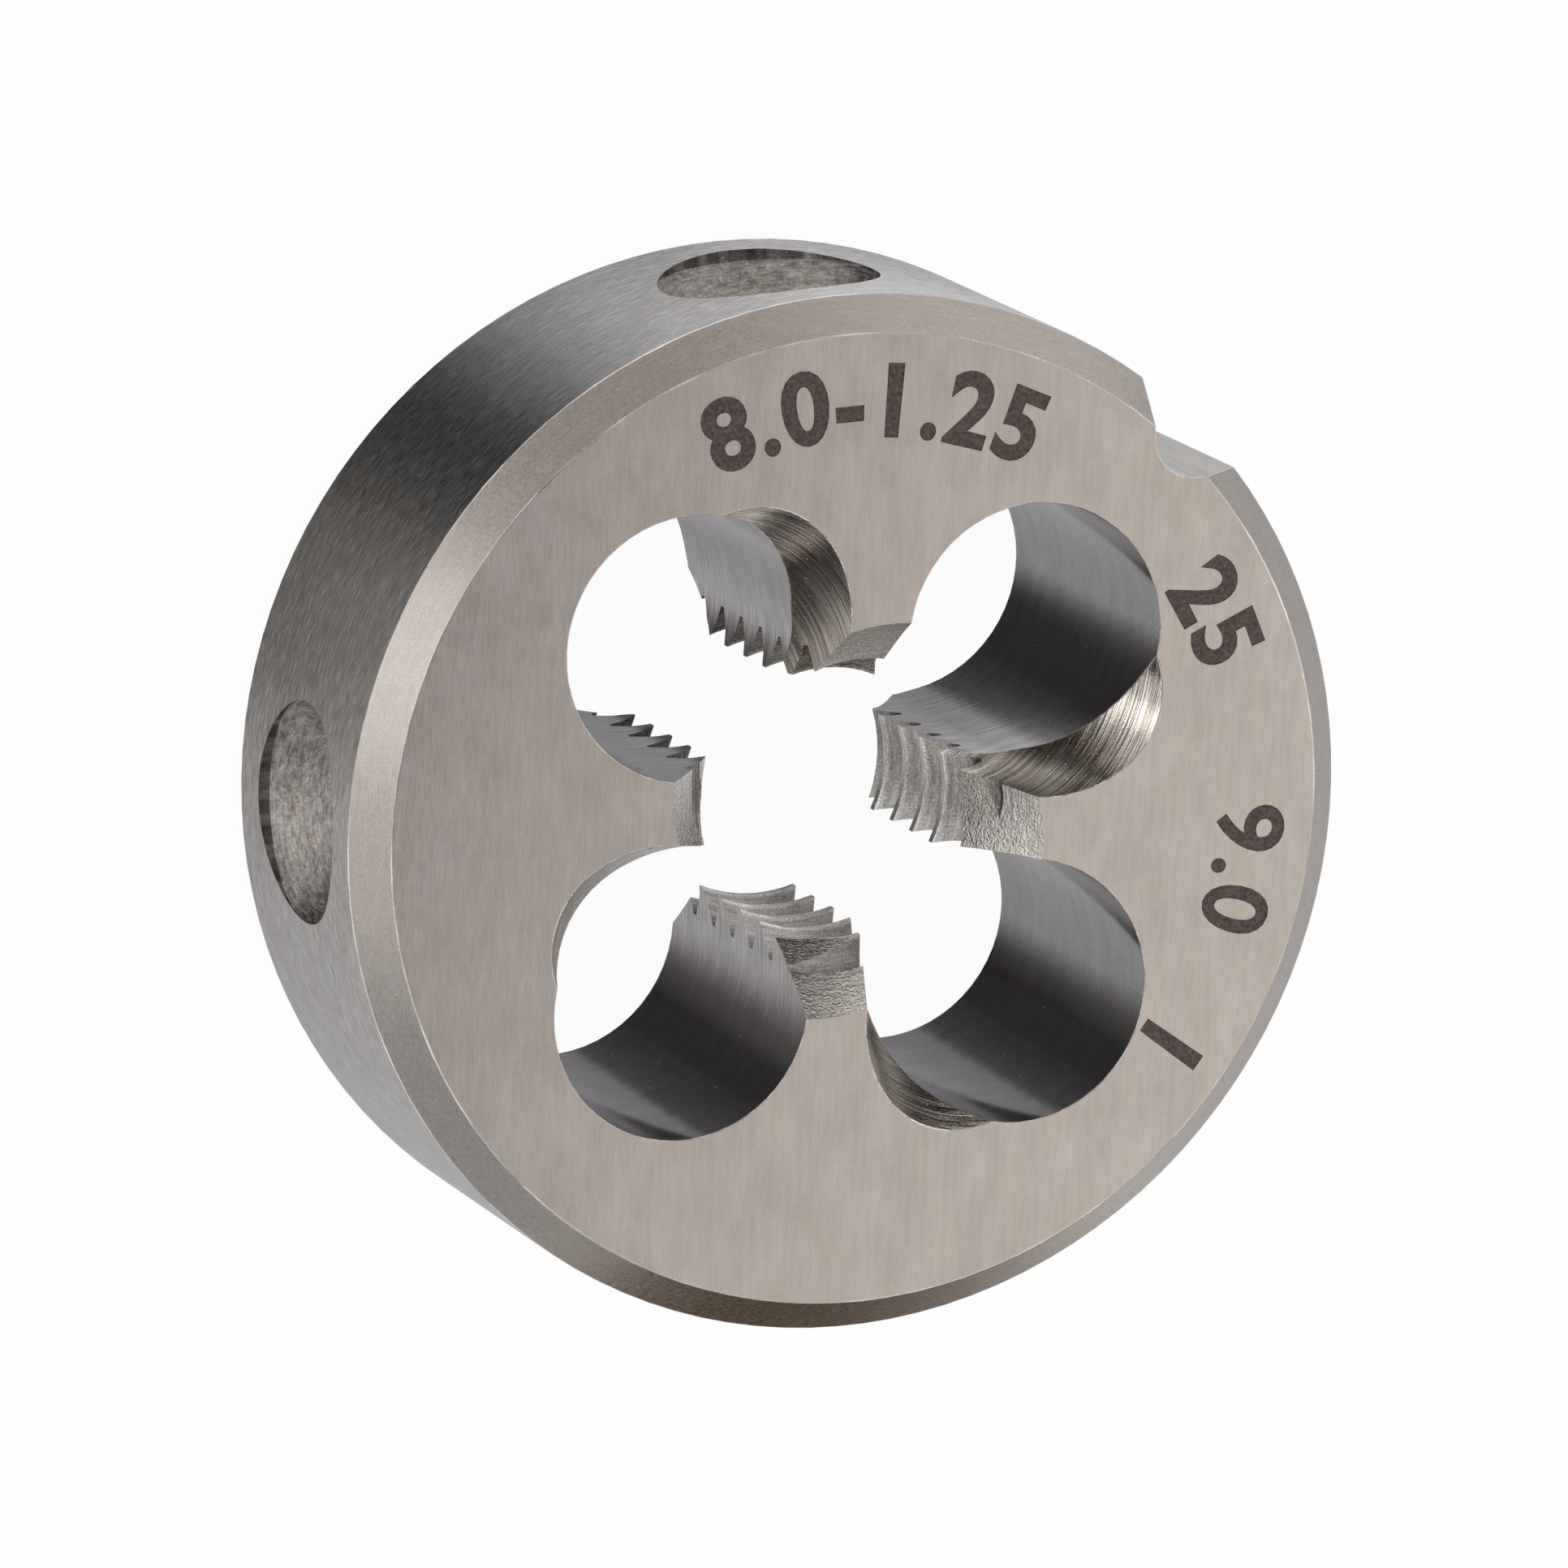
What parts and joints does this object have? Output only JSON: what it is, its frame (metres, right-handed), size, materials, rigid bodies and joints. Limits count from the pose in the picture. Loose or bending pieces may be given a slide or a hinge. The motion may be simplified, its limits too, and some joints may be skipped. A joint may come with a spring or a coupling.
{
  "type": "round threading die",
  "caption": "Solid round die that cuts an M8 x 1.25 right-hand outside thread, with round chip holes, gashed lands, a V notch and cone seats in its rim.",
  "frame": {"origin": "centre of the rear face, on the axis of the thread", "axes": "+Z out of the marked front face, where the work enters; the cutting lands point along +X, +Y, -X and -Y"},
  "size_m": [0.025, 0.025, 0.009],
  "materials": {
    "ground_steel": "ground"
  },
  "bodies": {
    "root": {"die_body": "ground_steel"}
  },
  "joints": []
}
